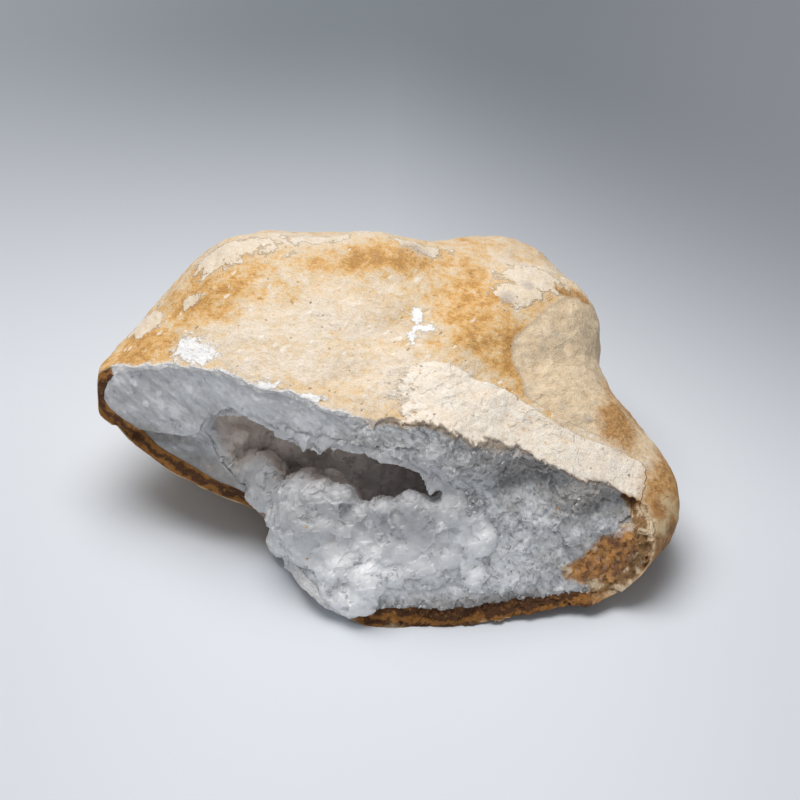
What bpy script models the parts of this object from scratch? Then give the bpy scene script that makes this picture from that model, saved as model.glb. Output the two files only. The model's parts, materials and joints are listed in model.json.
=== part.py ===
"""A broken calcite geode: a thin limestone rind, a thick wall of massive white calcite inside it, and a
druse of crystal lumps lining the hollow. Metres, +Z up, -Y towards the broken face, +X to the right."""

import math
import random

import bmesh
import bpy
import numpy as np
from mathutils import Matrix, Vector, noise

MM = 0.001
GAP = 0.3 * MM  # between neighbouring solids

# The nodule before it broke is a rounded polyhedron about this centre, which is 42 mm above the table.
CENTRE = Vector((0.0, 2.0, 42.0)) * MM
ROUNDING = 16.0  # higher is crisper where two facets meet

# Each facet of the nodule: azimuth (0 right, 90 back, -90 front), elevation and distance in mm.
FACETS = (
    (-90, 71, 34),  # broad top, falling towards the front
    (-130, 62, 45),  # top left, falling to the rim
    (90, 60, 64),  # back of the ridge
    (90, 5, 78),  # back
    (90, -42, 66),  # back, undercut
    (0, -90, 45),  # foot
    (-155, -52, 58),  # left underside, lifted off the table
    (180, 52, 70),  # left shoulder
    (135, -6, 94),  # left back
    (172, -5, 126),  # left tip
    (-5, -8, 115),  # right end
    (-45, 58, 42),  # cream slope above the right rim
    (4, 50, 61),  # smooth grey side, beyond a crisp edge
    (26, 2, 89),  # right back
    (60, 12, 90),  # far right back
    (120, 12, 90),  # far left back
    (-90, -22, 92),  # front, broken away
    (-50, -25, 108),  # front right
    (-40, -42, 105),  # right underside
    (10, -45, 96),  # right end underside
    (150, -38, 84),  # left back underside
)

# Lobes and hollows on the facets: azimuth, elevation, height in mm and spread in degrees.
LOBES = (
    (14, -1, -9.0, 10),  # waist behind the right end
    (5, -18, 3.0, 14),  # low lobe under the bulb
    (-154, -20, -8.0, 13),  # hollow under the left side
    (174, 4, 2.5, 8),  # left tip
    (182, 15, -3.0, 11),  # the left rim dips
    (32, 36, 3.0, 12),  # the grey side swells
    (95, 56, 3.5, 9),  # knob on the ridge
    (118, 54, -3.0, 9),  # notch left of the knob
    (25, 19, 10.0, 11),  # corner of the grey side
    (150, 45, 2.0, 14),
    (-95, 75, -2.0, 20),
    (-60, 60, 2.0, 12),
    (200, 35, 2.0, 12),
    (80, 20, -3.0, 16),
    (110, -5, 3.0, 15),
    (45, 20, 3.0, 12),
)

# Waves on the skin: height and length in mm.
SKIN_WAVES = ((2.2, 33), (1.3, 14))

# The break runs between two lines, seen from above as (x, y) in mm: along the top rim and along the foot.
UPPER_BREAK = ((-115, 14), (-95, 7), (-73, 0), (-48, -17), (-22, -28), (6, -36), (28, -40), (53, -36),
               (75, -38), (96, -35), (112, -60))
LOWER_BREAK = ((-115, 11), (-91, -4), (-73, -13), (-52, -20), (-41, -26), (-32, -44), (-22, -58), (-8, -63),
               (15, -65), (45, -63), (73, -58), (90, -56), (110, -78))
# Height of those two lines in mm, as (x, z).
UPPER_HEIGHT = ((-104, 50), (-73, 62), (-48, 66), (6, 63), (53, 51), (96, 31))
LOWER_HEIGHT = ((-104, 40), (-73, 27), (-48, 21), (-33, 12), (-20, 4), (10, 0), (73, 3), (100, 14))
# Creases and ledges on the break: x, z, half width, half height and depth in mm (minus stands proud).
BREAK_MARKS = (
    (-84, 40, 20, 3.5, 5.0),  # crease left of the hollow
    (44, 41, 18, 3.0, 4.0),  # crease right of the hollow
    (48, 50, 20, 4.0, -2.0),  # upper lip above that crease
    (-18, 8, 20, 8.0, -3.0),  # swelling at the foot
    (72, 20, 10, 8.0, 4.0),  # rusty hollow at the right end
    (88, 26, 5, 12.0, -3.0),  # rib beside it
)
BREAK_WAVES = ((2.0, 17), (1.4, 8))
BREAK_CELL = 6.0
FOOT_RIND = 5.0  # limestone left under the calcite where the stone rests

# Lumps of calcite on the broken face, spread over this box of x and z in mm.
FACE_LUMPS = 24
FACE_LUMPS_FROM, FACE_LUMPS_TO = (-20.0, 15.0), (60.0, 38.0)
FACE_LUMP_RADIUS = (6.0, 9.0)
FACE_LUMP_SINK = 0.6  # of the radius

# The hollow in the massive calcite is an ellipsoid tipped down to the right, in mm and degrees.
HOLLOW_CENTRE = Vector((-14.0, -32.0, 37.5))
HOLLOW_RADII = Vector((58.0, 46.0, 20.0))
HOLLOW_TIP = 9.0
HOLLOW_WAVE = 0.10
CRUST = 4.0

# Mounds of crystal on the hollow's floor and back: x, y, z and radius in mm.
MOUNDS = (
    (-23, -33, 22, 19),
    (-4, -36, 18, 18),
    (13, -41, 19, 16),
    (-45, -18, 27, 13),
    (28, -42, 22, 13),
    (-10, -2, 24, 14),
    (-34, 2, 30, 12),
)
BEADS_PER_MOUND = 6
BEADS_ON_WALL = 16
BEAD_RADIUS = (4.0, 6.5)
POINT_RADIUS = (1.6, 2.6)
SEED = 7

SHIFT = Vector((-1.0, -7.4, 0.0)) * MM  # puts the origin under the middle of the finished stone


def direction(azimuth, elevation):
    """The unit vector at an azimuth and elevation in degrees."""
    a, e = math.radians(azimuth), math.radians(elevation)
    return np.array((math.cos(a) * math.cos(e), math.sin(a) * math.cos(e), math.sin(e)))


def smooth_line(points, x):
    """The height at x of a smooth curve through a few (x, y) points. x is an array."""
    xs = np.array([p[0] for p in points], float)
    ys = np.array([p[1] for p in points], float)
    slopes = np.gradient(ys, xs)
    x = np.clip(x, xs[0], xs[-1])
    i = np.clip(np.searchsorted(xs, x, side="right") - 1, 0, len(xs) - 2)
    width = xs[i + 1] - xs[i]
    t = (x - xs[i]) / width
    from_left = ys[i] * (1 + 2 * t) + slopes[i] * width * t
    from_right = ys[i + 1] * (3 - 2 * t) + slopes[i + 1] * width * (t - 1)
    return from_left * (1 - t) ** 2 + from_right * t**2


def waves(points, layers, seed):
    """Perlin noise at each point in mm, summed over layers of (height, length)."""
    total = np.zeros(len(points))
    for number, (height, length) in enumerate(layers):
        shift = Vector((17.3, 5.1, 9.7)) * (seed + number)
        total += height * np.array([noise.noise(Vector(p) / length + shift) for p in points])
    return total


def nodule_radius(rays):
    """Distance in mm from the centre to the nodule's skin along each unit ray."""
    total = np.zeros(len(rays))
    for azimuth, elevation, distance in FACETS:
        facing = rays @ direction(azimuth, elevation) / distance
        total += np.maximum(facing, 0) ** ROUNDING
    radius = total ** (-1 / ROUNDING)
    for azimuth, elevation, height, spread in LOBES:
        sharpness = 1 / math.radians(spread) ** 2
        radius += height * np.exp(sharpness * (rays @ direction(azimuth, elevation) - 1))
    return radius + waves(rays * radius[:, None], SKIN_WAVES, 1)


def rind_thickness(rays):
    """In mm: thin at the top, thicker low down and thickest at the right end."""
    low = 0.5 - 0.5 * np.tanh(3 * rays[:, 2])
    right = np.clip((rays[:, 0] - 0.75) / 0.2, 0, 1)
    return 2.2 + 2.8 * low + 4.5 * right


def break_surface(x, z):
    """The y of the broken face in mm, at arrays of x and z in mm."""
    top, low = smooth_line(UPPER_HEIGHT, x), smooth_line(LOWER_HEIGHT, x)
    rise = np.clip((z - low) / (top - low), -0.4, 1.4)
    y = smooth_line(LOWER_BREAK, x) * (1 - rise) + smooth_line(UPPER_BREAK, x) * rise
    for x0, z0, wide, tall, depth in BREAK_MARKS:
        y += depth * np.exp(-(((x - x0) / wide) ** 2) - ((z - z0) / tall) ** 2)
    return y + waves(np.stack([x, y, z], axis=1), BREAK_WAVES, 3)


def finished(bm, name):
    """An object at the origin that holds this bmesh, its faces pointing out."""
    bmesh.ops.recalc_face_normals(bm, faces=bm.faces[:])
    mesh = bpy.data.meshes.new(name)
    bm.to_mesh(mesh)
    bm.free()
    return bpy.data.objects.new(name, mesh)


def quad_ball(cuts):
    """A cube subdivided and blown up to a unit sphere, in triangles that are all about one size."""
    bm = bmesh.new()
    bmesh.ops.create_cube(bm, size=2.0)
    bmesh.ops.subdivide_edges(bm, edges=bm.edges[:], cuts=cuts, use_grid_fill=True)
    for vert in bm.verts:
        even = [math.tan(c * math.pi / 4) for c in vert.co]
        vert.co = Vector(even).normalized()
    bmesh.ops.triangulate(bm, faces=bm.faces[:])
    return bm


def nodule(name, cuts, sink, floor):
    """The whole nodule, its skin sunk by sink(rays) mm and cut off flat at the height floor mm."""
    bm = quad_ball(cuts)
    rays = np.array([v.co for v in bm.verts])
    radius = nodule_radius(rays) - sink(rays)
    for vert, ray, r in zip(bm.verts, rays, radius):
        vert.co = CENTRE + Vector(ray) * r * MM
    everything = bm.verts[:] + bm.edges[:] + bm.faces[:]
    cut = Vector((0, 0, floor)) * MM
    bmesh.ops.bisect_plane(bm, geom=everything, plane_co=cut, plane_no=(0, 0, -1), clear_outer=True)
    bmesh.ops.holes_fill(bm, edges=[e for e in bm.edges if e.is_boundary])
    return finished(bm, name)


def front_cutter(cell):
    """Everything in front of the broken face: a displaced grid, extruded forwards."""
    wide, tall, middle, front = 280, 150, 50, -170
    bm = bmesh.new()
    bmesh.ops.create_grid(bm, x_segments=round(wide / cell), y_segments=round(tall / cell), size=0.5)
    x = np.array([v.co.x for v in bm.verts]) * wide
    z = np.array([v.co.y for v in bm.verts]) * tall + middle
    for vert, *place in zip(bm.verts, x, break_surface(x, z), z):
        vert.co = Vector(place) * MM
    bmesh.ops.triangulate(bm, faces=bm.faces[:])
    sides = bmesh.ops.extrude_face_region(bm, geom=bm.faces[:])
    for item in sides["geom"]:
        if isinstance(item, bmesh.types.BMVert):
            item.co.y = front * MM
    return finished(bm, "broken_front")


def hollow_point(ray, sink):
    """A point on the hollow's wall in mm, sink mm inside the massive calcite's inner face."""
    wave = 1 + HOLLOW_WAVE * noise.noise(ray * 2.1 + Vector((3, 1, 7)))
    reach = Vector([a * b for a, b in zip(ray, HOLLOW_RADII)]) * wave
    tip = Matrix.Rotation(math.radians(HOLLOW_TIP), 3, "Y")
    return HOLLOW_CENTRE + tip @ (reach - reach.normalized() * sink)


def hollow(name, cuts, sink):
    bm = quad_ball(cuts)
    for vert in bm.verts:
        vert.co = hollow_point(vert.co.copy(), sink) * MM
    return finished(bm, name)


def bead(name, centre, radius, detail):
    """A faceted lump of crystal, turned at random."""
    bm = bmesh.new()
    turn = Matrix.Rotation(random.uniform(0, math.tau), 4, Vector((1, 2, 3)).normalized())
    place = Matrix.Translation(centre * MM) @ turn
    bmesh.ops.create_icosphere(bm, subdivisions=detail, radius=radius * MM, matrix=place)
    return finished(bm, name)


def crystal_point(name, foot, outward, radius):
    """A three-sided calcite point standing on foot."""
    bm = bmesh.new()
    lean = (outward + Vector([random.uniform(-0.5, 0.5) for _ in range(3)])).normalized()
    stand = lean.to_track_quat("Z", "Y").to_matrix().to_4x4()
    bmesh.ops.create_cone(bm, cap_ends=True, segments=3, radius1=radius * MM, radius2=0.25 * radius * MM,
                          depth=3 * radius * MM, matrix=Matrix.Translation(foot * MM) @ stand)
    return finished(bm, name)


def face_lumps():
    """Lumps spread evenly over the lower part of the broken face, each sunk more than half into it."""
    random.seed(SEED + 1)
    made = []
    for n in range(FACE_LUMPS):
        x = FACE_LUMPS_FROM[0] + (FACE_LUMPS_TO[0] - FACE_LUMPS_FROM[0]) * (n + 0.5) / FACE_LUMPS
        z = FACE_LUMPS_FROM[1] + (FACE_LUMPS_TO[1] - FACE_LUMPS_FROM[1]) * (n * 0.618034 % 1)
        radius = random.uniform(*FACE_LUMP_RADIUS)
        y = break_surface(np.array([x]), np.array([z]))[0] + FACE_LUMP_SINK * radius
        made.append(bead(f"face_lump_{n}", Vector((x, y, z)), radius, 1))
    return made


def druse():
    """The lumps that grow from the crust: mounds, smaller beads all over them and on the wall, and points."""
    random.seed(SEED)
    made = []
    spots = []
    for n, (x, y, z, radius) in enumerate(MOUNDS):
        centre = Vector((x, y, z))
        made.append(bead(f"mound_{n}", centre, radius, 2))
        for k in range(BEADS_PER_MOUND):
            golden = k * 2.39996
            height = 1 - 1.1 * (k + 0.5) / BEADS_PER_MOUND
            flat = math.sqrt(max(0.0, 1 - height * height))
            outward = Vector((flat * math.cos(golden), flat * math.sin(golden), height))
            spots.append((centre + outward * (radius - 1.5), outward))
    for k in range(BEADS_ON_WALL):
        golden = k * 2.39996
        height = 1 - 2 * (k + 0.5) / BEADS_ON_WALL
        flat = math.sqrt(max(0.0, 1 - height * height))
        ray = Vector((flat * math.cos(golden), flat * math.sin(golden), height))
        spots.append((hollow_point(ray, CRUST - 1), -ray))
    for n, (place, outward) in enumerate(spots):
        radius = random.uniform(*BEAD_RADIUS)
        made.append(bead(f"bead_{n}", place, radius, 1))
        foot = place + outward * (radius - 0.8)
        made.append(crystal_point(f"point_{n}", foot, outward, random.uniform(*POINT_RADIUS)))
    return made


def boolean(obj, other, operation="DIFFERENCE"):
    """A live Boolean with an object or with a whole collection."""
    modifier = obj.modifiers.new(operation.lower(), "BOOLEAN")
    modifier.operation = operation
    if isinstance(other, bpy.types.Collection):
        modifier.operand_type = "COLLECTION"
        modifier.collection = other
    else:
        modifier.object = other


def largest_piece(obj):
    """Applies an object's modifiers and keeps its largest connected piece, so no pocket is left shut in."""
    graph = bpy.context.evaluated_depsgraph_get()
    mesh = bpy.data.meshes.new_from_object(obj.evaluated_get(graph))
    obj.modifiers.clear()
    obj.data = mesh
    bm = bmesh.new()
    bm.from_mesh(mesh)
    pieces = []
    unseen = set(bm.verts)
    while unseen:
        piece, edge_of_it = set(), [unseen.pop()]
        while edge_of_it:
            vert = edge_of_it.pop()
            piece.add(vert)
            near = {edge.other_vert(vert) for edge in vert.link_edges} & unseen
            unseen -= near
            edge_of_it.extend(near)
        pieces.append(piece)
    pieces.sort(key=len)
    strays = [vert for piece in pieces[:-1] for vert in piece]
    bmesh.ops.delete(bm, geom=strays, context="VERTS")
    bm.to_mesh(mesh)
    bm.free()


def finish_with(obj, name, colour, roughness):
    made = bpy.data.materials.new(name)
    made.use_nodes = True
    shader = made.node_tree.nodes["Principled BSDF"]
    shader.inputs["Base Color"].default_value = (*colour, 1)
    shader.inputs["Roughness"].default_value = roughness
    obj.data.materials.append(made)


def collection(name):
    made = bpy.data.collections.new(name)
    bpy.context.scene.collection.children.link(made)
    return made


def put(obj, group, helper=False):
    """Links an object, moved so that the stone stands on its origin. Helpers are hidden from renders."""
    group.objects.link(obj)
    obj.location = SHIFT
    obj.hide_render = helper
    if helper:
        obj.display_type = "WIRE"
    return obj


def main():
    for obj in list(bpy.data.objects):
        bpy.data.objects.remove(obj)
    stone, cutters = collection("calcite_geode"), collection("cutters")
    lumps, on_face = collection("druse_lumps"), collection("face_lumps")

    front = put(front_cutter(BREAK_CELL), cutters, helper=True)
    core = put(nodule("rind_inside", 8, rind_thickness, FOOT_RIND), cutters, helper=True)
    rind = put(nodule("limestone_rind", 14, lambda rays: 0.0, 0.0), stone)
    boolean(rind, core)
    boolean(rind, front)
    finish_with(rind, "limestone", (0.72, 0.58, 0.40), 0.85)

    hole = put(hollow("hollow_wall", 6, 0.0), cutters, helper=True)
    gap = GAP / MM
    wall = put(nodule("calcite_wall", 8, lambda rays: rind_thickness(rays) + gap, FOOT_RIND + gap), stone)
    for lump in face_lumps():
        put(lump, on_face, helper=True)
    boolean(wall, front)
    boolean(wall, on_face, "UNION")
    boolean(wall, hole)
    largest_piece(wall)
    finish_with(wall, "massive_calcite", (0.80, 0.82, 0.85), 0.5)

    for lump in druse():
        put(lump, lumps, helper=True)
    space = put(hollow("hollow_space", 6, CRUST), cutters, helper=True)
    boolean(space, lumps)
    largest_piece(space)
    crust = put(hollow("crystal_crust", 6, gap), stone)
    boolean(crust, space)
    boolean(crust, front)
    largest_piece(crust)
    finish_with(crust, "calcite_crystal", (0.86, 0.88, 0.92), 0.3)


main()
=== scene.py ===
# %% [markdown]
# # A broken calcite geode
# A geode is a hollow nodule. This one has a thin rind of tan limestone, then a thick band of massive white
# calcite, then a hollow lined with lumps of small crystals. A break across the front shows all three. The
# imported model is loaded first, because every piece made here stands for one of its solids.

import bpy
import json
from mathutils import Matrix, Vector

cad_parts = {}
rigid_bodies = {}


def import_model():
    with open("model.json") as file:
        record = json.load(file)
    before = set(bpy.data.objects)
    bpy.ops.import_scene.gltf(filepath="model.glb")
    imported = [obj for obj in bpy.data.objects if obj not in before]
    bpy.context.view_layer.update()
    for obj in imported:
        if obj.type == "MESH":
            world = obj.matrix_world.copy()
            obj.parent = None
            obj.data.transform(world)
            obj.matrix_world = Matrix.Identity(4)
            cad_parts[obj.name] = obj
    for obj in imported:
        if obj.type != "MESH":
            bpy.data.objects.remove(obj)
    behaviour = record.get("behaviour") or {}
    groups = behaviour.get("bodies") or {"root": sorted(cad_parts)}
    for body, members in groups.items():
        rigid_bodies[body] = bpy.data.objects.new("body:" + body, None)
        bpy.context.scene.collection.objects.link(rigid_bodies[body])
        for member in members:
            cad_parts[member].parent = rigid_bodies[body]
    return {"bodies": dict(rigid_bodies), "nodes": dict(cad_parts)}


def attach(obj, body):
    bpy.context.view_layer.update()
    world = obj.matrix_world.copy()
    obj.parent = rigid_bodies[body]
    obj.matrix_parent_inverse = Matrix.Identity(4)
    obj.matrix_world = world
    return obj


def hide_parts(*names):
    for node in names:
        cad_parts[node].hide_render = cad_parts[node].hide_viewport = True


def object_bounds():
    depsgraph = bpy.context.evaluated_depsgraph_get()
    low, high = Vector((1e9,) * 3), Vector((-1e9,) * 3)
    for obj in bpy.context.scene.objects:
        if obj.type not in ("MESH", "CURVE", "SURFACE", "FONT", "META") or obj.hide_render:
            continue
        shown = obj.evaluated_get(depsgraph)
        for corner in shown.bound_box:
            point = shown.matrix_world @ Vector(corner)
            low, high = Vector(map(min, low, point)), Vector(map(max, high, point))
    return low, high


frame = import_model()
cad_low, cad_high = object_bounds()
print("nodes:", sorted(frame["nodes"]))
print("box in mm:", [round(c * 1000, 1) for c in (*cad_low, *cad_high)])

# %% [markdown]
# ## Units and small helpers
# Shapes are worked out in millimetres, because the features are millimetres across, and turned to metres
# when a vertex is placed. `perlin` and `smoothstep` are the two functions that nearly every rock surface
# needs: one makes soft random hills, the other turns a soft value into a firm edge.

# %% Helpers for shapes
import json
import math
import random

import bmesh
import bpy
import numpy as np
from mathutils import Matrix, Vector, noise

MM = 0.001
SHIFT = Vector((-1.0, -7.4, 0.0))  # from the nodule's own frame to the part's, in mm
SEED = 7


def smoothstep(low, high, value):
    t = np.clip((value - low) / (high - low), 0, 1)
    return t * t * (3 - 2 * t)


def steps(*each):
    """The product of several smooth steps, each given as (value, low, high)."""
    return math.prod(smoothstep(low, high, value) for value, low, high in each)


def perlin(points, length, seed=0):
    """Noise of about -1 to 1 at points in mm, with hills about length mm apart."""
    away = np.array((17.3, 5.1, 9.7)) * seed
    return np.array([noise.noise(p) for p in (points / length + away).tolist()])


def direction(azimuth, elevation):
    a, e = math.radians(azimuth), math.radians(elevation)
    return np.array((math.cos(a) * math.cos(e), math.sin(a) * math.cos(e), math.sin(e)))


def smooth_line(points, x):
    """The height at x of a smooth curve through a few (x, y) points. x is an array."""
    xs = np.array([p[0] for p in points], float)
    ys = np.array([p[1] for p in points], float)
    slopes = np.gradient(ys, xs)
    x = np.clip(x, xs[0], xs[-1])
    i = np.clip(np.searchsorted(xs, x, side="right") - 1, 0, len(xs) - 2)
    width = xs[i + 1] - xs[i]
    t = (x - xs[i]) / width
    from_left = ys[i] * (1 + 2 * t) + slopes[i] * width * t
    from_right = ys[i + 1] * (3 - 2 * t) + slopes[i + 1] * width * (t - 1)
    return from_left * (1 - t) ** 2 + from_right * t**2


print("helpers ready")

# %% [markdown]
# ## The nodule's form
# The whole nodule is a rounded polyhedron. Each facet is an azimuth, an elevation and a distance, and a high
# power of the facets' sum rounds the edges between them. Lobes swell or dent it. These are the solids' own
# driving values, so that the fine surface follows them. Only the two dents in the ridge are new.

# %% Facets and lobes
CENTRE = np.array((0.0, 2.0, 42.0))
ROUNDING = 16.0
FACETS = (
    (-90, 71, 34), (-130, 62, 45), (90, 60, 64), (90, 5, 78), (90, -42, 66), (0, -90, 45), (-155, -52, 58),
    (180, 52, 70), (135, -6, 94), (172, -5, 126), (-5, -8, 115), (-45, 58, 42), (4, 50, 61), (26, 2, 89),
    (60, 12, 90), (120, 12, 90), (-90, -22, 92), (-50, -25, 108), (-40, -42, 105), (10, -45, 96),
    (150, -38, 84),
)
LOBES = (
    (14, -1, -9.0, 10), (5, -18, 3.0, 14), (-154, -20, -8.0, 13), (174, 4, 2.5, 8), (182, 15, -3.0, 11),
    (32, 36, 3.0, 12), (95, 56, 3.5, 9), (118, 54, -3.0, 9), (25, 19, 10.0, 11), (150, 45, 2.0, 14),
    (-95, 75, -2.0, 20), (-60, 60, 2.0, 12), (200, 35, 2.0, 12), (80, 20, -3.0, 16), (110, -5, 3.0, 15),
    (45, 20, 3.0, 12), (17, 14, 2.5, 9), (38, 41, -3.0, 9), (186, -11, 4.8, 10), (199, -21, 3.0, 9),
    (176, 7, 4.0, 5),
)
RIDGE_DENTS = ((60, 46, -4.6, 12), (41, 47, -3.6, 10))
SKIN_WAVES = ((2.2, 33), (1.3, 14))


def nodule_radius(rays):
    """Distance in mm from the centre to the nodule's skin along each unit ray."""
    total = np.zeros(len(rays))
    for azimuth, elevation, distance in FACETS:
        facing = rays @ direction(azimuth, elevation) / distance
        total += np.maximum(facing, 0) ** ROUNDING
    radius = total ** (-1 / ROUNDING)
    for azimuth, elevation, height, spread in LOBES + RIDGE_DENTS:
        sharpness = 1 / math.radians(spread) ** 2
        radius += height * np.exp(sharpness * (rays @ direction(azimuth, elevation) - 1))
    points = rays * radius[:, None]
    for number, (height, length) in enumerate(SKIN_WAVES):
        radius += height * perlin(points, length, 1 + number)
    return radius


print(len(FACETS), "facets,", len(LOBES + RIDGE_DENTS), "lobes and dents")

# %% [markdown]
# ## The break
# The broken face is ruled between two lines seen from above, one along the top rim and one along the foot.
# `LIP` is the upper edge of the hollow, where the calcite hangs over a little. On the real stone the face is
# the cleaved and torn edge of thousands of grown-together calcite grains. `cleavage` gives that: each Voronoi
# cell gets its own flat, tilted facet, which is what a broken crystal mass shows.

# %% The broken face
UPPER_BREAK = ((-115, 14), (-95, 7), (-73, 0), (-48, -16), (-22, -26), (6, -34), (28, -38), (53, -34),
               (62, -38), (69, -41), (75, -38.5), (81, -37), (88, -39), (97, -43), (112, -62))
LOWER_BREAK = ((-115, 11), (-91, -4), (-73, -13), (-52, -20), (-41, -26), (-32, -44), (-22, -58), (-8, -63),
               (15, -65), (45, -63), (73, -58), (90, -56), (110, -78))
UPPER_HEIGHT = ((-104, 50), (-73, 62), (-48, 66), (6, 63), (53, 51), (96, 31))
LOWER_HEIGHT = ((-104, 40), (-73, 27), (-48, 21), (-33, 12), (-20, 4), (10, 0), (73, 3), (100, 14))
BREAK_MARKS = (
    (50, 42, 24, 5.0, 6.5), (82, 32, 16, 5.0, 6.5), (-18, 8, 20, 8.0, -3.0), (72, 20, 10, 8.0, 4.0),
    (88, 26, 5, 12.0, -3.0),
)
BREAK_WAVES = ((2.0, 17), (1.4, 8))
LIP = ((-104, 36), (-98, 37), (-91, 37), (-78, 39), (-66, 43), (-62, 47), (-57, 54), (-54, 56.5),
       (-50, 56.5), (-44, 55), (-41, 53), (-37, 50.5), (-30, 50), (-24, 50), (-19, 49.5), (-14, 53.5),
       (-8, 55.5), (-1, 54.5), (4, 52.5), (10, 51), (13, 47), (16, 42.5), (23, 37), (28, 33), (40, 24))
LIP_OVERHANG = 4.5


def face_rise(x, z):
    """How far up the broken face a place is: 0 on its foot line and 1 on its top line."""
    top, low = smooth_line(UPPER_HEIGHT, x), smooth_line(LOWER_HEIGHT, x)
    return (z - low) / (top - low)


def break_surface(x, z):
    """The y of the broken face in mm, at arrays of x and z in mm."""
    rise = np.clip(face_rise(x, z), -0.4, 1.4)
    y = smooth_line(LOWER_BREAK, x) * (1 - rise) + smooth_line(UPPER_BREAK, x) * rise
    for x0, z0, wide, tall, depth in BREAK_MARKS:
        y += depth * np.exp(-(((x - x0) / wide) ** 2) - ((z - z0) / tall) ** 2)
    below = smooth_line(LIP, x) - z
    y += LIP_OVERHANG * smoothstep(-0.6, 1.4, below) * smoothstep(26, 6, below) * smoothstep(-46, -56, x)
    points = np.stack([x, y, z], axis=1)
    for number, (height, length) in enumerate(BREAK_WAVES):
        y = y + height * perlin(points, length, 3 + number)
    return y


def cleavage(points, cell, tilt, step):
    """Height in mm of a surface broken into flat facets about cell mm across."""
    heights = []
    for p in (points / cell).tolist():
        spot = noise.voronoi(p)[1][0]
        lean = noise.cell_vector(spot * 9.7)
        away = Vector(p) - spot
        heights.append(tilt * away.dot(lean * 2 - Vector((1, 1, 1))) + step * (lean.x + lean.y - 1))
    return cell * np.array(heights)


FIBRES_LEAN = -0.5  # radians, how the fibres of the left wall lie in the face


def fine_break(x, z):
    """The broken face with its grain: combed into fibres at the left, and sugary and blocky at the right."""
    y = break_surface(x, z)
    points = np.stack([x, y, z], axis=1)
    sugar = 0.22 + 0.68 * smoothstep(-45, 25, x)
    y = y + sugar * (cleavage(points, 6.5, 0.22, 0.05) + cleavage(points, 2.4, 0.40, 0.07))
    along = x * math.cos(FIBRES_LEAN) + z * math.sin(FIBRES_LEAN)
    across = z * math.cos(FIBRES_LEAN) - x * math.sin(FIBRES_LEAN)
    combed = perlin(np.stack([0.22 * along, 0.3 * y, across], axis=1), 2.2, 8)
    return y + (0.95 - sugar) * combed + 0.12 * perlin(points, 1.3, 9)


start = break_surface(np.array([0.0]), np.array([30.0]))[0]
print("the break at the middle of the face is at y", round(start, 1), "mm")

# %% [markdown]
# ## Balls of even triangles
# A UV sphere crowds its vertices at the poles, so a rock made from it is smooth there and coarse elsewhere.
# A subdivided cube that is blown up to a sphere has cells of nearly one size. Its corner angles are evened
# out with a tangent first.

# %% Balls and solids
def finished(bm, name):
    """Links an object that holds this bmesh, its faces pointing out."""
    bmesh.ops.recalc_face_normals(bm, faces=bm.faces[:])
    mesh = bpy.data.meshes.new(name)
    bm.to_mesh(mesh)
    bm.free()
    made = bpy.data.objects.new(name, mesh)
    bpy.context.scene.collection.objects.link(made)
    return made


def quad_ball(cuts):
    bm = bmesh.new()
    bmesh.ops.create_cube(bm, size=2.0)
    bmesh.ops.subdivide_edges(bm, edges=bm.edges[:], cuts=cuts, use_grid_fill=True)
    for vert in bm.verts:
        even = [math.tan(c * math.pi / 4) for c in vert.co]
        vert.co = Vector(even).normalized()
    bmesh.ops.triangulate(bm, faces=bm.faces[:])
    return bm


def in_mm(verts):
    return np.array([v.co for v in verts]) / MM


def place(verts, points):
    """Puts the vertices at points, given in mm in the nodule's frame."""
    for vert, point in zip(verts, ((points + np.array(SHIFT)) * MM).tolist()):
        vert.co = point


def nodule(name, cuts, shape, floor):
    """The whole nodule at shape(rays) mm from its centre, cut off flat at the height floor mm."""
    bm = quad_ball(cuts)
    rays = np.array([v.co for v in bm.verts])
    place(bm.verts, CENTRE + rays * shape(rays)[:, None])
    cut = Vector((0, 0, floor)) * MM
    everything = bm.verts[:] + bm.edges[:] + bm.faces[:]
    bmesh.ops.bisect_plane(bm, geom=everything, plane_co=cut, plane_no=(0, 0, -1), clear_outer=True)
    bmesh.ops.holes_fill(bm, edges=[e for e in bm.edges if e.is_boundary])
    return finished(bm, name)


def settle(obj):
    """Applies an object's modifiers, so that it holds the finished mesh."""
    graph = bpy.context.evaluated_depsgraph_get()
    mesh = bpy.data.meshes.new_from_object(obj.evaluated_get(graph))
    obj.modifiers.clear()
    obj.data = mesh


def cut_away(obj, cutter, how="DIFFERENCE"):
    """Cuts the cutter's shape out of obj, or with INTERSECT whatever lies outside the cutter."""
    modifier = obj.modifiers.new("cut", "BOOLEAN")
    modifier.operation = how
    modifier.solver = "MANIFOLD"
    modifier.object = cutter
    settle(obj)


def discard(*objects):
    for obj in objects:
        bpy.data.objects.remove(obj)


def told(obj):
    """Prints what a piece measures."""
    points = in_mm(obj.data.vertices)
    triangles = sum(len(p.vertices) - 2 for p in obj.data.polygons)
    print(obj.name, triangles, "triangles, from", points.min(0).round(1), "to", points.max(0).round(1), "mm")


print("solids ready")

# %% [markdown]
# ## The fine broken face as a cutter
# One displaced grid cuts both the rind and the calcite, so their broken edges meet exactly. It is extruded
# forwards into a closed block, because a Boolean needs closed shapes.

# %% The front cutter
BREAK_CELL = 0.62
BREAK_LOW, BREAK_HIGH = (-112.0, -6.0), (112.0, 74.0)  # x and z in mm
CLEAR_OF_THE_STONE = -170  # the block's front in mm


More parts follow.
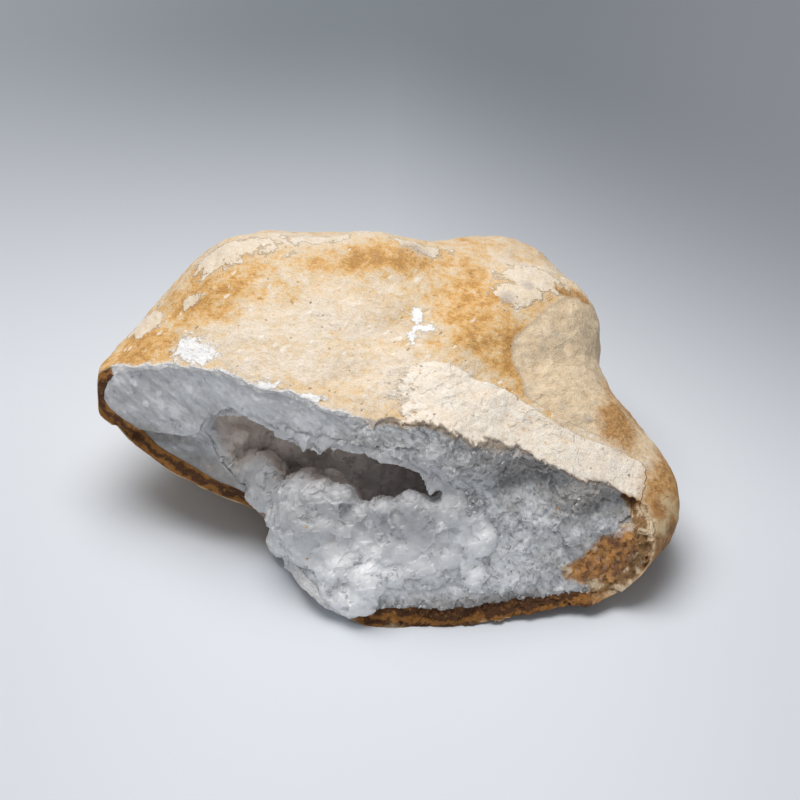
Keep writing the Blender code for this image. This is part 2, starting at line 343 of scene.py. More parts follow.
def front_cutter(cell, surface):
    wide, tall = (high - low for low, high in zip(BREAK_LOW, BREAK_HIGH))
    bm = bmesh.new()
    bmesh.ops.create_grid(bm, x_segments=round(wide / cell), y_segments=round(tall / cell), size=0.5)
    flat = np.array([v.co for v in bm.verts])
    x = (flat[:, 0] + 0.5) * wide + BREAK_LOW[0]
    z = (flat[:, 1] + 0.5) * tall + BREAK_LOW[1]
    place(bm.verts, np.stack([x, surface(x, z), z], axis=1))
    bmesh.ops.triangulate(bm, faces=bm.faces[:])
    sides = bmesh.ops.extrude_face_region(bm, geom=bm.faces[:])
    for item in sides["geom"]:
        if isinstance(item, bmesh.types.BMVert):
            item.co.y = CLEAR_OF_THE_STONE * MM
    return finished(bm, "broken_front")


front = front_cutter(BREAK_CELL, fine_break)
told(front)

# %% [markdown]
# ## The limestone rind
# The skin of a limestone nodule scales off in thin curved sheets and is dotted with small pits. Soft noise
# alone would look like clay, so the sheets are noise cut into steps with firm edges. Pale plaques and hairline
# cracks are finer still, and are left to the material. The skin is sunk a little first, which keeps the relief
# inside the stone's own box.

# %% The skin's relief
SKIN_CUTS = 124
RIND_CUTS = 58
SKIN_SUNK = 0.6


def scaling(points):
    """Chalk that has scaled off in thin curved sheets: a rounded staircase of soft noise, in steps."""
    rise = 2.6 * perlin(points, 21, 17) + 0.9 * perlin(points, 7, 18)
    whole = np.floor(rise)
    return whole + smoothstep(0.0, 0.22, rise - whole) - rise


def pits(points):
    """1 in the middle of small scattered pits."""
    found = []
    for p in (points / 5.0).tolist():
        near, spots = noise.voronoi(p)
        chosen = noise.cell(spots[0] * 7.3) > 0.62
        found.append(near[0] if chosen else 1.0)
    return smoothstep(0.42, 0.12, np.array(found))


def skin_radius(rays):
    radius = nodule_radius(rays)
    points = CENTRE + rays * radius[:, None]
    chalky = smoothstep(6, -10, points[:, 1] + 10)
    relief = (0.10 + 0.22 * chalky) * scaling(points) - 0.5 * pits(points)
    relief += 0.8 * perlin(points, 9, 14) + 0.32 * perlin(points, 3.8, 15) + 0.20 * perlin(points, 1.9, 16)
    return radius - SKIN_SUNK + relief


def rind_thickness(rays):
    """In mm: thin at the top, thicker low down and at the left, and thickest at the right end."""
    low = 0.5 - 0.5 * np.tanh(3 * rays[:, 2])
    right = np.clip((rays[:, 0] - 0.75) / 0.2, 0, 1)
    left = np.clip((-rays[:, 0] - 0.25) / 0.5, 0, 1) * smoothstep(0.12, -0.08, rays[:, 2])
    points = CENTRE + rays * 80
    ragged = 0.8 * perlin(points, 9, 31) + 0.5 * perlin(points, 4, 32)
    tip = smoothstep(-0.88, -0.98, rays[:, 0]) * smoothstep(0.16, 0.02, rays[:, 2])
    return 2.2 + 2.8 * low + 4.5 * right + 2.1 * left + 2.4 * tip + ragged * (0.5 + low + right)


def inside_rind(gap):
    """The shape within the rind: the nodule's radius less the rind and a gap, in mm."""
    return lambda rays: nodule_radius(rays) - rind_thickness(rays) - gap


FOOT_RIND = 6.0
rind = nodule("weathered_rind", SKIN_CUTS, skin_radius, 0.0)
core = nodule("rind_inside", RIND_CUTS, inside_rind(0.0), FOOT_RIND)
cut_away(rind, core)
cut_away(rind, front)
told(rind)

# %% [markdown]
# ## The massive calcite
# Inside the rind the nodule is solid white calcite, broken through at the front. It is the rind's own inner
# shape, made a hair smaller so that the two never share a surface, then cut by the same front and by the
# hollow. The hollow is a tipped ellipsoid with a soft wave in it.

# %% The calcite wall
HOLLOW_CENTRE = Vector((-14.0, -32.0, 37.5))
HOLLOW_RADII = Vector((58.0, 46.0, 20.0))
HOLLOW_TIP = 9.0  # degrees, the left end up
HOLLOW_WAVE = 0.10
WAVE_PLACE, WAVE_SCALE = (3, 1, 7), 2.1  # where in the noise the hollow's wave is read
HOLLOW_CUTS = 44
LINING_CUTS = 90
CRUST = 4.0


def hollow_point(ray, sink):
    """A point on the hollow's wall in mm, sink mm nearer its middle."""
    wave = 1 + HOLLOW_WAVE * noise.noise(ray * WAVE_SCALE + Vector(WAVE_PLACE))
    reach = Vector([a * b for a, b in zip(ray, HOLLOW_RADII)]) * wave
    tip = Matrix.Rotation(math.radians(HOLLOW_TIP), 3, "Y")
    return HOLLOW_CENTRE + tip @ (reach - reach.normalized() * sink)


def hollow_depth(points):
    """How far points in mm lie inside the hollow, as a share: 0 on its wall and 1 in its middle."""
    tip = np.array(Matrix.Rotation(math.radians(-HOLLOW_TIP), 3, "Y"))
    local = (points - np.array(HOLLOW_CENTRE)) @ tip.T / np.array(HOLLOW_RADII)
    reach = np.linalg.norm(local, axis=1)
    rays = (local / np.maximum(reach, 1e-6)[:, None] * WAVE_SCALE + np.array(WAVE_PLACE)).tolist()
    return 1 - reach / (1 + HOLLOW_WAVE * np.array([noise.noise(r) for r in rays]))


def ceiling(points, sink):
    """The height in mm that the hollow's wall stays under: low and toothed at the lip, and higher behind it."""
    x = points[:, 0]
    lip = smooth_line(LIP, x)
    flat = np.stack([x, 0 * x, 0 * x], axis=1)
    teeth = 0.7 * perlin(flat, 4.2, 61) + 0.5 * perlin(flat, 2.1, 62)
    behind = np.maximum(points[:, 1] - break_surface(x, lip), 0)
    return lip + teeth + CRUST - sink + 0.9 * behind


def hollow(name, cuts, sink):
    bm = quad_ball(cuts)
    points = np.array([hollow_point(v.co, sink) for v in bm.verts])
    points[:, 2] = np.minimum(points[:, 2], ceiling(points, sink))
    place(bm.verts, points)
    return finished(bm, name)


GAP = 0.03  # mm between the rind and the calcite
calcite = nodule("broken_calcite", RIND_CUTS, inside_rind(GAP), FOOT_RIND + GAP)
cut_away(calcite, front)
room = hollow("hollow_room", HOLLOW_CUTS, 0.0)
cut_away(calcite, room)
told(calcite)

# %% [markdown]
# ## The botryoidal lining
# The hollow's lining is botryoidal: rounded lumps about a centimetre across, each a ball of small crystals.
# Balls of several sizes are gathered on the mounds and along the wall, fused by a voxel remesh so that they
# meet in soft creases, and then facetted by the same cleavage as the break. A remesh is what makes separate
# balls grow together.

# %% Lumps of crystal
MOUNDS = (
    (-23, -33, 22, 18), (-5, -39, 15, 16), (13, -43, 14, 15), (-45, -18, 25, 12), (30, -43, 14, 12),
    (-10, 0, 22, 13), (-34, 4, 28, 12),
)
LUMPS_PER_MOUND = 26
LUMPS_ON_WALL = 130
LUMPS_ON_FACE = 36
FOOT_LUMPS = (
    (-35, -29, 9, 7), (-29, -38, 8, 7), (-25, -44, 8, 7), (-21, -50, 7, 7), (-17, -55, 7, 6.5),
    (-12, -59, 6.5, 6.5), (-24, -44, 15, 8), (-15, -51, 14, 8), (-33, -32, 17, 7), (-5, -57, 14, 7),
    (-7, -61, 8, 6),
)
LUMP_VOXEL = 0.8
SMALLEST_BIT = 300  # vertices
GOLDEN_SHARE = 0.618034
GOLDEN_ANGLE = 2.39996  # radians


def ball(name, centre, radius, detail=3):
    bm = bmesh.new()
    at = Matrix.Translation((centre + SHIFT) * MM)
    bmesh.ops.create_icosphere(bm, subdivisions=detail, radius=radius * MM, matrix=at)
    return finished(bm, name)


def spread(count, from_height=1.0, to_height=-1.0):
    """Unit rays spread evenly over part of a sphere."""
    rays = []
    for k in range(count):
        height = from_height + (to_height - from_height) * (k + 0.5) / count
        flat = math.sqrt(1 - height * height)
        turn = k * GOLDEN_ANGLE
        rays.append(Vector((flat * math.cos(turn), flat * math.sin(turn), height)))
    return rays


def fitting(centres, sizes):
    """Which balls stay inside the nodule's rind and behind the broken face."""
    away = centres - CENTRE
    reach = np.linalg.norm(away, axis=1)
    rays = away / reach[:, None]
    inside = reach + sizes < nodule_radius(rays) - 1.5
    sunk = (0.45 + 0.7 * smoothstep(-40, -48, centres[:, 0])) * sizes
    return inside & (centres[:, 1] > break_surface(centres[:, 0], centres[:, 2]) + sunk)


def lumps():
    """The balls that the lining grows from."""
    random.seed(SEED)
    wanted = []
    for x, y, z, radius in MOUNDS:
        centre = Vector((x, y, z))
        wanted.append((centre, radius - 0.7))
        for ray in spread(LUMPS_PER_MOUND, 1.0, -0.5):
            out = (ray + 0.12 * Vector([random.uniform(-1, 1) for _ in range(3)])).normalized()
            size = random.uniform(5.0, 8.5)
            wanted.append((centre + out * (radius - 0.88 * size), size))
    for ray in spread(LUMPS_ON_WALL):
        size = random.uniform(3.5, 6.5)
        spot = hollow_point(ray, CRUST - 0.35 * size)
        if ray.z < 0.15 or spot.y > break_surface(np.array([spot.x]), np.array([spot.z]))[0] + 14:
            wanted.append((spot, size))
    for n in range(LUMPS_ON_FACE):
        x = -30 + 66 * (n + 0.5) / LUMPS_ON_FACE
        z = 11 + 26 * (n * GOLDEN_SHARE % 1)
        size = random.uniform(5.0, 9.0)
        y = break_surface(np.array([x]), np.array([z]))[0] + 0.86 * size
        wanted.append((Vector((x, y, z)), size))
    keep = fitting(np.array([c for c, _ in wanted]), np.array([r for _, r in wanted]))
    made = [ball("lump", c, r) for (c, r), inside in zip(wanted, keep) if inside]
    made += [ball("lump", Vector(spot[:3]), spot[3]) for spot in FOOT_LUMPS]
    print(len(made), "balls of", len(wanted), "fit")
    return made


def joined(name, objects):
    """One mesh object of several, made in a bmesh."""
    bm = bmesh.new()
    for obj in objects:
        bm.from_mesh(obj.data)
    discard(*objects)
    return finished(bm, name)


shell = hollow("lining_shell", HOLLOW_CUTS, -0.5)
inner = hollow("lining_inside", LINING_CUTS, CRUST)
cut_away(shell, inner)
cut_away(shell, front)
cut_away(shell, core, "INTERSECT")
druse = joined("druse", [shell, *lumps()])
remesh = druse.modifiers.new("grown together", "REMESH")
remesh.mode = "VOXEL"
remesh.voxel_size = LUMP_VOXEL * MM
settle(druse)
discard(inner, room, core)
told(druse)

# %% [markdown]
# ### Crystal faces
# Booleans and the remesh leave loose crumbs behind, which would float in front of the hollow, so they go first.
# Then the lumps are softened and broken into flat faces of two sizes.

# %% Crumbs and crystal faces
def without_crumbs(obj, fewest):
    """Deletes the loose bits of a mesh that have fewer vertices than this."""
    bm = bmesh.new()
    bm.from_mesh(obj.data)
    seen, crumbs = set(), []
    for first in bm.verts:
        if first in seen:
            continue
        seen.add(first)
        bit = [first]
        for vert in bit:
            for edge in vert.link_edges:
                other = edge.other_vert(vert)
                if other not in seen:
                    seen.add(other)
                    bit.append(other)
        if len(bit) < fewest:
            crumbs += bit
    bmesh.ops.delete(bm, geom=crumbs, context="VERTS")
    bm.to_mesh(obj.data)
    bm.free()
    print(obj.name, "lost", len(crumbs), "vertices of loose crumbs")


def crystallise(obj, soften, coarse, small):
    """Softens the creases, then breaks the surface into flat crystal faces of two sizes in mm."""
    bm = bmesh.new()
    bm.from_mesh(obj.data)
    for _ in range(soften):
        bmesh.ops.smooth_vert(bm, verts=bm.verts[:], factor=0.5,
                              use_axis_x=True, use_axis_y=True, use_axis_z=True)
    bm.normal_update()
    points = in_mm(bm.verts)
    height = cleavage(points, coarse, 0.18, 0.05) + cleavage(points, small, 0.15, 0.04)
    height += 0.7 * perlin(points, 5.5, 53)
    for vert, rise in zip(bm.verts, height):
        vert.co += vert.normal * rise * MM
    bm.to_mesh(obj.data)
    bm.free()


for piece in (rind, calcite, druse):
    without_crumbs(piece, SMALLEST_BIT)
crystallise(druse, 6, 5.5, 2.6)
told(druse)

# %% [markdown]
# ## Keeping within the solids' box
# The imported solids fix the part's size. Anything that the fine relief pushes past their box is eased back
# inside it, softly, so that no flat patch shows.

# %% The box
def kept_in(obj, slack=1.6):
    """Eases the vertices of obj inside the solids' box. slack is where the easing starts, in mm."""
    points = in_mm(obj.data.vertices)
    for corner, outward in ((cad_low, -1), (cad_high, 1)):
        for side in range(3):
            wall, at = corner[side] / MM, points[:, side]
            past = outward * (at - wall) + slack
            eased = wall - outward * slack * np.exp(-np.maximum(past, 0) / slack)
            on_table = side == 2 and outward < 0
            points[:, side] = np.maximum(at, 0.0) if on_table else np.where(past > 0, eased, at)
    obj.data.vertices.foreach_set("co", (points * MM).astype(np.float32).ravel())
    obj.data.update()


FOOT_LIFT = 4.0


def lift_foot(obj):
    """Curves the right front of the underside up off the table."""
    for vert in obj.data.vertices:
        x, y, z = vert.co / MM
        vert.co.z += FOOT_LIFT * float(steps((x, 20, 70), (y, -35, -62), (z, 8, 0))) * MM


lift_foot(rind)
for piece in (rind, calcite, druse):
    kept_in(piece)
    told(piece)

# %% [markdown]
# ## Marks for the materials
# A material can't know which faces are weathered skin and which are fresh break, so each piece gets that as
# an attribute on its vertices. It is worked out by place: a vertex on the broken surface is fresh. Where the
# calcite is `grainy` and the lining is `frosted`, small crystals will be sown.

# %% Attributes
def own_points(obj):
    """The vertices' places in mm, in the nodule's frame."""
    return in_mm(obj.data.vertices) - np.array(SHIFT)


def mark(obj, name, values):
    """Stores one number per vertex, which a material or a node group reads by its name."""
    layer = obj.data.attributes.new(name, "FLOAT", "POINT")
    layer.data.foreach_set("value", np.asarray(values, dtype=np.float32))


def on_the_break(points):
    """1 on the fine broken face and 0 off it."""
    return smoothstep(0.9, 0.3, np.abs(points[:, 1] - fine_break(points[:, 0], points[:, 2])))


def rust_stain(points):
    """The stained corner of the broken face: past one line down the face, and above another at its foot."""
    x, z = points[:, 0] - 60, points[:, 2] - 13
    past = (19 * x - 33 * z) / 38
    above = np.where(x < 13, z + 0.38 * x, 9.0)
    return steps((past, -2.0, 4.0), (above, -2.0, 2.0), (points[:, 1], -14, -44))


skin = own_points(rind)
rays = skin - CENTRE
rays /= np.linalg.norm(rays, axis=1)[:, None]
wall = own_points(calcite)
knobs = own_points(druse)
mark(rind, "fresh", on_the_break(skin))
patchy = perlin(wall, 9, 41) + smoothstep(-30, 40, wall[:, 0]) > 0.45
mark(calcite, "grainy", on_the_break(wall) * patchy * (rust_stain(wall) < 0.3))
ahead = knobs + 1.8 * np.array([v.normal for v in druse.data.vertices])
free = (hollow_depth(ahead) > 0.04) | (ahead[:, 1] < break_surface(ahead[:, 0], ahead[:, 2]) + 0.5)
free &= (ahead[:, 2] < ceiling(ahead, CRUST) - 4.5) & (ahead[:, 2] - knobs[:, 2] > -0.7)
frosted = perlin(knobs, 7, 51) + 0.4 * perlin(knobs, 3, 52) > 0.26
mark(druse, "frosted", free & frosted)
print("open share of the lining", round(float(free.mean()), 2))

# %% [markdown]
# ## Where the colours lie
# The stone's colours lie in broad zones: a pale chalky slope at the front, gold on the upper left and by the
# right shoulder, a smooth grey-tan side, and rusty brown low down and at the right end. The rind is painted
# darker towards its back, which is painted shade. The calcite is browner in the hollow, partly stain and partly
# painted shade, and rust-stained at its right foot. Each zone is a soft attribute, and the material breaks its
# edge up with noise, so that it looks grown and not painted. A patch is a place and three half widths in mm.

# %% Zones
PALE = ((52, -36, 56, 44, 14, 22), (-24, 0, 80, 34, 18, 14), (-52, -4, 76, 22, 12, 12),
        (-30, 38, 88, 30, 10, 12), (55, 30, 82, 16, 12, 10), (-30, -18, 72, 30, 10, 10),
        (4, -22, 72, 22, 12, 12))
GOLD = ((-66, 16, 78, 24, 12, 14), (32, 6, 80, 14, 22, 14), (-8, 27, 90, 26, 7, 10), (50, -19, 61, 8, 6, 10),
        (-90, 8, 59, 20, 12, 14), (47, -5, 72, 12, 14, 10))
PLAQUES = ((-58, 34, 84, 34, 9, 9), (-24, 40, 90, 14, 6, 8), (48, 16, 81, 12, 8, 7), (54, 26, 80, 16, 8, 8),
           (14, 36, 88, 16, 5, 6), (-72, 18, 76, 7, 4, 5), (-88, 22, 62, 10, 10, 10), (-40, 58, 66, 16, 12, 8),
           (30, 68, 48, 12, 10, 14), (74, 48, 56, 10, 12, 9), (-78, 44, 38, 10, 10, 8), (-6, 70, 24, 16, 10, 7),
           (62, 60, 20, 12, 12, 6), (-98, 4, 44, 6, 8, 5))
DIMPLES = ((44, 13, 82, 4, 4, 4), (52, 21, 81, 2.5, 3, 3), (14, 33, 90.6, 9, 4, 5))
BROWN = ((84, -18, 48, 10, 12, 14), (86, 6, 38, 14, 22, 16), (64, 24, 75, 7, 2.5, 3), (71, 27, 71, 7, 3, 4),
         (103, -30, 30, 9, 20, 22), (97, -38, 31, 8, 12, 12))
WHITE = ((-71, -2, 69, 7, 6, 6), (-64, -6, 68, 9, 5, 5), (11, 3, 80.5, 2.6, 5, 5), (13.5, -2, 79, 5, 2.3, 5),
         (9.5, -5.5, 77.5, 2.0, 3.6, 5), (-56, -16, 66, 9, 3.2, 5), (-42, -25, 67, 8, 2.8, 5),
         (-28, -31, 67, 8, 2.4, 5))
# Patches that darken the stone: partly dirt and partly painted shade, under the right rim, along the face's
# foot, at its left and just under the middle of the rim.
GRIME_AND_SHADE = ((50, -42, 46, 22, 10, 7), (72, -45, 38, 20, 12, 9), (88, -48, 33, 12, 12, 9), (36, -68, 6, 40, 8, 4),
         (-60, -20, 27, 30, 14, 7), (-84, -6, 36, 22, 14, 5), (0, -36, 58, 16, 8, 4))
RIM_FROST = ((-62, -13, 62, 14, 8, 6), (-44, -24, 60, 14, 8, 7), (-28, -33, 58, 12, 8, 7))
SIDE_EDGE = ((-60, 94), (-27, 86), (-26, 74), (-23, 57), (-15, 48), (-3, 45), (8, 54), (19, 63), (30, 75),
             (60, 104))
SLOPE_EDGE = ((-40, -26), (-10, -21), (8, -17), (19, -16), (33, -20), (43, -21), (52, -24), (62, -27),
              (90, -29))


def close_to(points, patches):
    """1 in the middle of any patch and 0 away from them all."""
    best = np.zeros(len(points))
    for x, y, z, wide, deep, tall in patches:
        away = (points + np.array(SHIFT) - np.array((x, y, z))) / np.array((wide, deep, tall))
        best = np.maximum(best, np.exp(-(away**2).sum(axis=1)))
    return best


mark(rind, "pale", 0.5 + 0.40 * close_to(skin, PALE) - 0.42 * close_to(skin, GOLD))
for name, patches in (("brown", BROWN), ("plaque", PLAQUES), ("dimple", DIMPLES), ("white", WHITE)):
    mark(rind, name, close_to(skin, patches))

x, y, z = (skin + np.array(SHIFT)).T
end = x + 0.25 * (z - 30) + 5.0 * perlin(skin + np.array(SHIFT), 11, 71)
before, beside = smooth_line(SLOPE_EDGE, x) - y, x - smooth_line(SIDE_EDGE, y)
mark(rind, "chalk", steps((before, -1.5, 1.5), (x, -30, 40), (z, 20, 32), (end, 96, 91)))
mark(rind, "side", steps((beside, -1.5, 1.5), (z, 12, 30), (y, 52, 22)))
mark(rind, "strip", steps((skin[:, 1], -46, -52), (z, 11, 8), (z, 1, 3), (x, 75, 71), (x, -19, -13)))
mark(rind, "end", smoothstep(70, 84, x))
# Painted shade: the rind is painted darker towards its back.
mark(rind, "far", smoothstep(16, 50, y))
mark(rind, "low", smoothstep(36, 8, z))
mark(rind, "below_skin", np.clip(nodule_radius(rays) - np.linalg.norm(skin - CENTRE, axis=1), 0, 12) / 12)
print(len(rind.data.attributes), "attributes on the rind")

# %% Zones on the broken face
for piece, points in ((rind, skin), (calcite, wall), (druse, knobs)):
    x, y, z = points.T
    rise = face_rise(x, z)
    mark(piece, "rust", rust_stain(points))
    # Painted shade: the top of the broken face at the right, under the rim, is painted darker.
    painted_rim_shade = 0.65 * steps((rise, 0.70, 0.95), (x, 4, 34))
    mark(piece, "grime_and_shade", np.maximum(close_to(points, GRIME_AND_SHADE), painted_rim_shade))
    if piece is rind:
        line = 0.36 + 0.35 * smoothstep(-60, -92, x) + 1.2 * smoothstep(78, 90, x)
        line += 0.8 * smoothstep(-94, -101, x)
        bare = steps((x, -46, -38), (x, -8, -15))
        mark(piece, "foot", smoothstep(line + 0.06, line - 0.06, rise) * (1 - bare))
        mark(piece, "right", smoothstep(-14, 4, x))
        continue
    # Browner further behind the break and in the left pocket: partly stain and partly painted shade.
    pocket = smoothstep(-34, -44, x) if piece is druse else 0.0
    mark(piece, "deep", smoothstep(2 - 3.5 * pocket, 13 - 7 * pocket, y - break_surface(x, z)))
    # Painted shade: the mound's top and the upper left and middle of the face are painted greyer, as the rim
    # above shades them.
    mark(piece, "shaded", steps((z, 13, 32), (x, 36, 12)))
    # Painted light: the low middle of the face is painted whiter, as it gets more light; the rim patches are a
    # white crust.
    bright = steps((z, 38, 20), (x, -38, -12), (x, 62, 36))
    mark(piece, "bright", np.maximum(bright, close_to(points, RIM_FROST)))
    print(piece.name, "marks:", len(piece.data.attributes))

# %% [markdown]
# ## Small crystals
# Each lump is covered in calcite crystals 1 to 3 mm across, rhombs and short dog-tooth points, and the broken
# face is granular with cleaved ones. They are a few small shapes, placed thousands of times with Geometry
# Nodes: Poisson spacing keeps them side by side, each is turned at random, and each carries its own `tint` so
# that neighbours don't look alike.

# %% Crystal shapes
def crystal(name, stretch, top=1.0):
    """A cube stood on its corner and stretched, which is how calcite cleaves. It is about 1 mm across."""
    bm = bmesh.new()
    bmesh.ops.create_cube(bm, size=0.72 * MM)
    upright = Vector((1, 1, 1)).rotation_difference(Vector((0, 0, 1))).to_matrix()
    bmesh.ops.rotate(bm, verts=bm.verts[:], matrix=upright)
    bmesh.ops.scale(bm, verts=bm.verts[:], vec=(1, 1, stretch))
    highest = max(bm.verts, key=lambda v: v.co.z)
    highest.co.z *= top
    return finished(bm, name)


def tooth(name, sides, length):
    """A pointed crystal, thin at both ends, as a dog-tooth is."""
    bm = bmesh.new()
    bmesh.ops.create_cone(bm, cap_ends=True, segments=sides, radius1=0.5 * MM, radius2=0.06 * MM,
                          depth=length * MM)
    return finished(bm, name)


def collected(name, objects):
    group = bpy.data.collections.new(name)
    for obj in objects:
        bpy.context.scene.collection.objects.unlink(obj)
        group.objects.link(obj)
    return group


grain_shapes = collected("grain_shapes",
                         [crystal("rhomb", 0.9), crystal("long_rhomb", 1.5), crystal("flat", 0.6)])
point_shapes = collected("point_shapes",
                         [tooth("dog_tooth", 3, 1.7), crystal("peak", 1.6, 1.2), crystal("spar", 1.1)])

# %% [markdown]
# ### Node trees
# The crystals, the shared effects and the materials are all node trees. `Nodes` holds one, with short ways to
# add to it: a plain value is set on its socket, another node's output is linked to it, and a colour is three
# numbers.

# %% Nodes
class Nodes:
    """A node tree, with short ways to add nodes to it."""

    def __init__(self, tree):
        self.tree = tree

    def add(self, kind, settings=None, inputs=None):
        made = self.tree.nodes.new(kind)
        for name, value in (settings or {}).items():
            setattr(made, name, value)
        for name, value in (inputs or {}).items():
            if isinstance(value, bpy.types.NodeSocket):
                self.tree.links.new(value, made.inputs[name])
            else:
                made.inputs[name].default_value = value
        return made

    def group(self, shared, **inputs):
        """Places a shared group with its own values and gives its output."""
        return self.add("ShaderNodeGroup", {"node_tree": shared.tree}, inputs).outputs[0]

    def mix(self, share, first, second, how="MIX"):
        """The first colour, turned towards the second by share."""
        first, second = ((*c, 1) if isinstance(c, tuple) else c for c in (first, second))
        made = self.add("ShaderNodeMix", {"data_type": "RGBA", "blend_type": how},
                        {0: share, 6: first, 7: second})
        return made.outputs[2]

    def maths(self, how, first, second=0.0, clamp=False):
        made = self.add("ShaderNodeMath", {"operation": how, "use_clamp": clamp}, {0: first, 1: second})
        return made.outputs[0]

    def times(self, first, second):
        return self.maths("MULTIPLY", first, second)

    def total(self, *parts):
        """The sum of the parts, each given with its weight."""
        found, *others = [self.times(value, weight) for value, weight in parts]
        for part in others:
            found = self.maths("ADD", found, part)
        return found

    def vectors(self, how, *values, **named):
        made = self.add("ShaderNodeVectorMath", {"operation": how}, {**dict(enumerate(values)), **named})
        return made.outputs["Vector"]

    def noise(self, place, scale, detail=3.0, rough=0.5, twist=0.0):
        values = {"Vector": place, "Scale": scale, "Detail": detail, "Roughness": rough, "Distortion": twist}
        return self.add("ShaderNodeTexNoise", None, values).outputs

    def between(self, value, low, high, to_low=0.0, to_high=1.0):
        """A smooth step from to_low where value is low to to_high where it is high."""
        ends = {"From Min": low, "From Max": high, "To Min": to_low, "To Max": to_high}
        made = self.add("ShaderNodeMapRange", {"interpolation_type": "SMOOTHSTEP"}, {"Value": value, **ends})
        return made.outputs["Result"]


print("node helpers ready")

# %% [markdown]
# ### Sowing the crystals
# Points are spread over the chosen faces, sunk a little, and each gets a crystal of its own shape, turn, size
# and tint. The instances are made real, so that the pieces are plain meshes.

# %% Crystals scattered with Geometry Nodes
def sow(name, ground, where, shapes, spacing, sizes, sink, lean, seed):
    """Crystals on the faces of ground where the attribute `where` is set. spacing and sink are in mm."""
    n = Nodes(bpy.data.node_groups.new(name, "GeometryNodeTree"))
    for way in ("INPUT", "OUTPUT"):
        n.tree.interface.new_socket("Geometry", in_out=way, socket_type="NodeSocketGeometry")
    start = n.add("NodeGroupInput")
    chosen = n.add("GeometryNodeInputNamedAttribute", {"data_type": "FLOAT"}, {"Name": where})
    is_set = n.add("FunctionNodeCompare", {"data_type": "FLOAT", "operation": "GREATER_THAN"},
                   {"A": chosen.outputs["Attribute"], "B": 0.5})
    spots = n.add("GeometryNodeDistributePointsOnFaces", {"distribute_method": "POISSON"},
                  {"Mesh": start.outputs["Geometry"], "Selection": is_set.outputs["Result"],
                   "Distance Min": spacing * MM, "Density Max": 3.0 / (spacing * MM) ** 2, "Seed": seed})
    turn = n.add("FunctionNodeRandomValue", {"data_type": "FLOAT_VECTOR"},
                 {"Min": (-lean, -lean, -math.pi), "Max": (lean, lean, math.pi), "Seed": seed + 1})
    as_turn = n.add("FunctionNodeEulerToRotation", None, {"Euler": turn.outputs["Value"]})
    turned = n.add("FunctionNodeRotateRotation", {"rotation_space": "LOCAL"},
                   {"Rotation": spots.outputs["Rotation"], "Rotate By": as_turn.outputs["Rotation"]})
    size, tint = (n.add("FunctionNodeRandomValue", {"data_type": "FLOAT"},
                        {2: low, 3: high, "Seed": seed + number}).outputs[1]
                  for number, (low, high) in ((2, sizes), (3, (0.0, 1.0))))
    shape = n.add("GeometryNodeCollectionInfo", None,
                  {"Collection": shapes, "Separate Children": True, "Reset Children": True})
    down = n.vectors("SCALE", spots.outputs["Normal"], Scale=-sink * MM)
    sunk = n.add("GeometryNodeSetPosition", None, {"Geometry": spots.outputs["Points"], "Offset": down})
    crystals = n.add("GeometryNodeInstanceOnPoints", None,
                     {"Points": sunk.outputs["Geometry"], "Instance": shape.outputs["Instances"],
                      "Pick Instance": True, "Rotation": turned.outputs["Rotation"], "Scale": size})
    tinted = n.add("GeometryNodeStoreNamedAttribute", {"data_type": "FLOAT", "domain": "INSTANCE"},
                   {"Geometry": crystals.outputs["Instances"], "Name": "tint", "Value": tint})
    real = n.add("GeometryNodeRealizeInstances", None, {"Geometry": tinted.outputs["Geometry"]})
    n.add("NodeGroupOutput", None, {"Geometry": real.outputs["Geometry"]})
    made = bpy.data.objects.new(name, ground.data.copy())
    bpy.context.scene.collection.objects.link(made)
    made.modifiers.new("sown", "NODES").node_group = n.tree
    settle(made)
    kept_in(made, 0.8)
    told(made)
    return made


lining_crystals = sow("lining_crystals", druse, "frosted", grain_shapes, 1.5, (1.0, 2.1), 0.6, 3.1, 11)
lining_points = sow("lining_points", druse, "frosted", point_shapes, 4.0, (1.0, 2.0), 0.4, 0.7, 21)
wall_grains = sow("wall_grains", calcite, "grainy", grain_shapes, 1.4, (0.8, 1.8), 0.55, 3.1, 31)

# %% [markdown]
# ## Effects that the materials share
# Three effects are node groups, because every material of the stone uses them with its own values:
# `ragged_edge` breaks up the edge of a soft mask, `speckle` scatters small spots, and `facets` tilts the
# surface cell by cell, as the faces of many small crystals do.

# %% Shared groups
def group(name, inputs, output, kind="NodeSocketFloat"):
    """A shader node group that reads a Position in mm and these inputs, given as name: default."""
    made = Nodes(bpy.data.node_groups.new(name, "ShaderNodeTree"))
    made.tree.interface.new_socket("Position", in_out="INPUT", socket_type="NodeSocketVector")
    for label, value in inputs.items():
        socket = made.tree.interface.new_socket(label, in_out="INPUT", socket_type="NodeSocketFloat")
        socket.default_value = value
    made.tree.interface.new_socket(output, in_out="OUTPUT", socket_type=kind)
    return made, made.add("NodeGroupInput").outputs


ragged, given = group("ragged_edge", {"Mask": 0.0, "Size": 4.0, "Amount": 0.5, "Edge": 0.1}, "Mask")
wander = ragged.noise(given["Position"], ragged.maths("DIVIDE", 1.0, given["Size"]), 5.0, 0.65)["Fac"]
push = ragged.times(ragged.maths("SUBTRACT", wander, 0.5), given["Amount"])
pushed = ragged.maths("SUBTRACT", ragged.maths("ADD", given["Mask"], push), 0.5)
firm = ragged.maths("ADD", ragged.maths("DIVIDE", pushed, given["Edge"]), 0.5, clamp=True)
ragged.add("NodeGroupOutput", None, {"Mask": firm})

